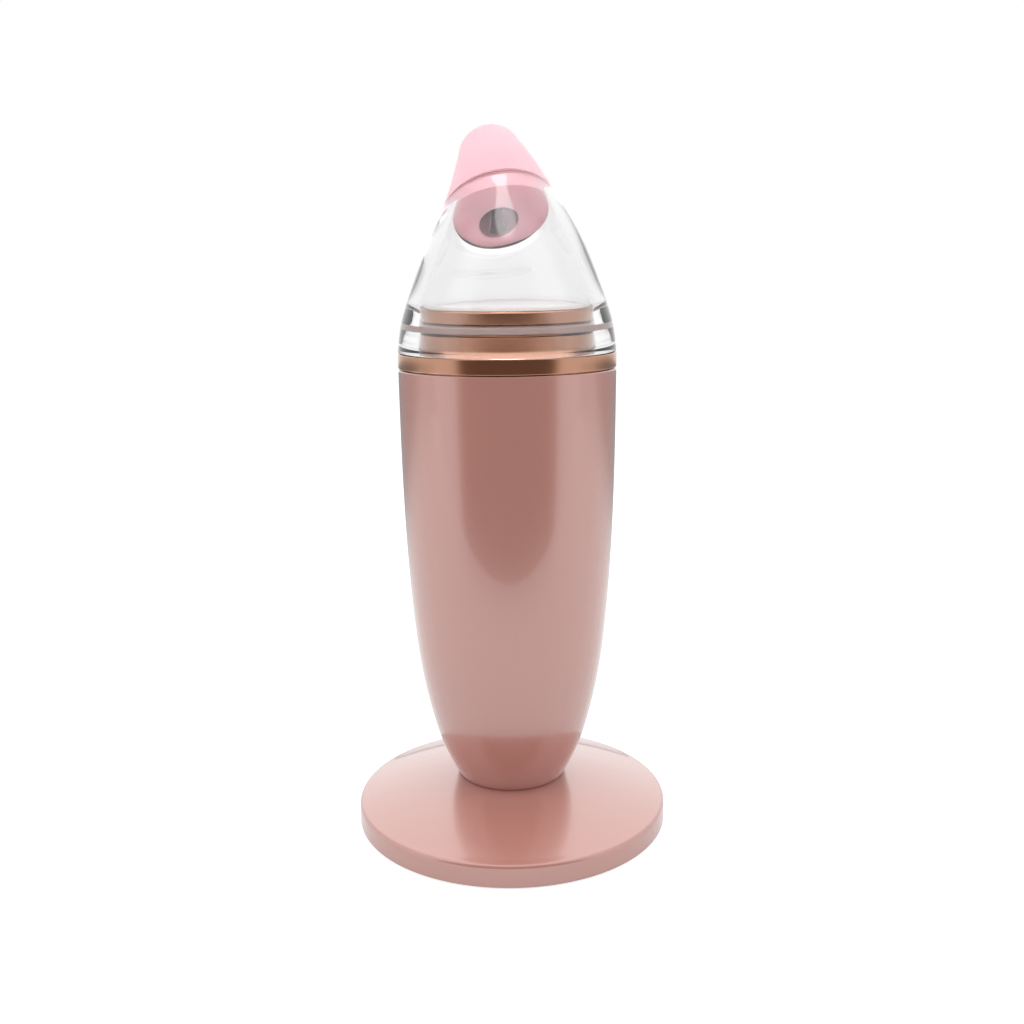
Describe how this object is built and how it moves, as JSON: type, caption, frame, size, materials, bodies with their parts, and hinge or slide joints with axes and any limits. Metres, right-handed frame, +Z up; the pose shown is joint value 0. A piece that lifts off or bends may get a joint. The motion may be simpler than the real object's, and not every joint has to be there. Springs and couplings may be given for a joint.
{
  "type": "blackhead vacuum extractor",
  "caption": "Hand-held pore vacuum with a clear suction chamber, bent silicone head and round weighted stand.",
  "frame": {"origin": "centre of the stand's underside", "axes": "+Z up along the body, -Y towards the plain front, +Y towards the button and the charging socket"},
  "size_m": [0.0722, 0.0722, 0.1588],
  "materials": {
    "rose_gold_paint": "pearl gloss lacquer",
    "copper_plate": "fine brushed copper plating",
    "button_plate": "satin pearl",
    "clear_acrylic": "clear polished acrylic",
    "pink_silicone": "soft matte silicone",
    "seal_rubber": "translucent silicone ring",
    "filter_foam": "fine open foam",
    "dark_rubber": "matte rubber",
    "grey_plastic": "moulded",
    "white_plastic": "moulded",
    "steel": "drawn steel",
    "screw_steel": "zinc plated",
    "bronze": "sintered",
    "ferrite": "sintered ferrite",
    "cell_wrap": "shrink wrap",
    "board_green": "solder mask",
    "black_plastic": "moulded",
    "light_lens": "diffuse lens"
  },
  "bodies": {
    "stand": {"stand_disc": "rose_gold_paint", "stand_spigot": "screw_steel", "stand_weight": "steel", "stand_cover": "grey_plastic", "stand_pad": "dark_rubber", "stand_screws": "screw_steel"},
    "handle": {"body_shell": "rose_gold_paint", "trim_ring": "copper_plate", "neck_collar": "copper_plate", "button_bezel": "copper_plate", "chamber_seal": "seal_rubber", "pump_diaphragm": "seal_rubber", "suction_hose": "seal_rubber", "filter_pad": "filter_foam", "foot_cap": "grey_plastic", "chassis_front": "grey_plastic", "chassis_rear": "grey_plastic", "motor_end_cap": "grey_plastic", "pump_case": "white_plastic", "pump_cover": "white_plastic", "valve_plate": "white_plastic", "swash_plate": "white_plastic", "light_guide": "white_plastic", "motor_can": "steel", "charging_socket": "steel", "battery_tabs": "steel", "chassis_screws": "screw_steel", "pump_screws": "screw_steel", "motor_bushes": "bronze", "motor_magnets": "ferrite", "battery_cell": "cell_wrap", "circuit_board": "board_green", "board_chips": "black_plastic", "tact_switch": "black_plastic", "socket_tongue": "black_plastic", "charge_lights": "light_lens"},
    "chamber": {"clear_dome": "clear_acrylic"},
    "head": {"silicone_head": "pink_silicone", "inlet_tube": "clear_acrylic"},
    "rotor": {"motor_shaft": "steel", "motor_armature": "steel", "commutator": "bronze", "pump_crank": "white_plastic"},
    "button": {"power_button": "button_plate"}
  },
  "joints": [
    {"name": "handle_lift", "type": "slide", "parent": "stand", "child": "handle", "axis": [0, 0, 1], "range_m": [0, 0.03]},
    {"name": "dome_pull", "type": "slide", "parent": "handle", "child": "chamber", "axis": [0, 0, 1], "range_m": [0, 0.014]},
    {"name": "head_pull", "type": "slide", "parent": "chamber", "child": "head", "axis": [-0.1664, 0.6209, 0.766], "range_m": [0, 0.012]},
    {"name": "motor_spin", "type": "hinge", "parent": "handle", "child": "rotor", "pos_m": [0, 0, 0.07], "axis": [0, 0, 1], "continuous": true},
    {"name": "button_press", "type": "slide", "parent": "handle", "child": "button", "axis": [0, -1, 0], "range_m": [0, 0.0006], "stiffness_N_per_m": 800, "springref_m": -0.0006}
  ]
}
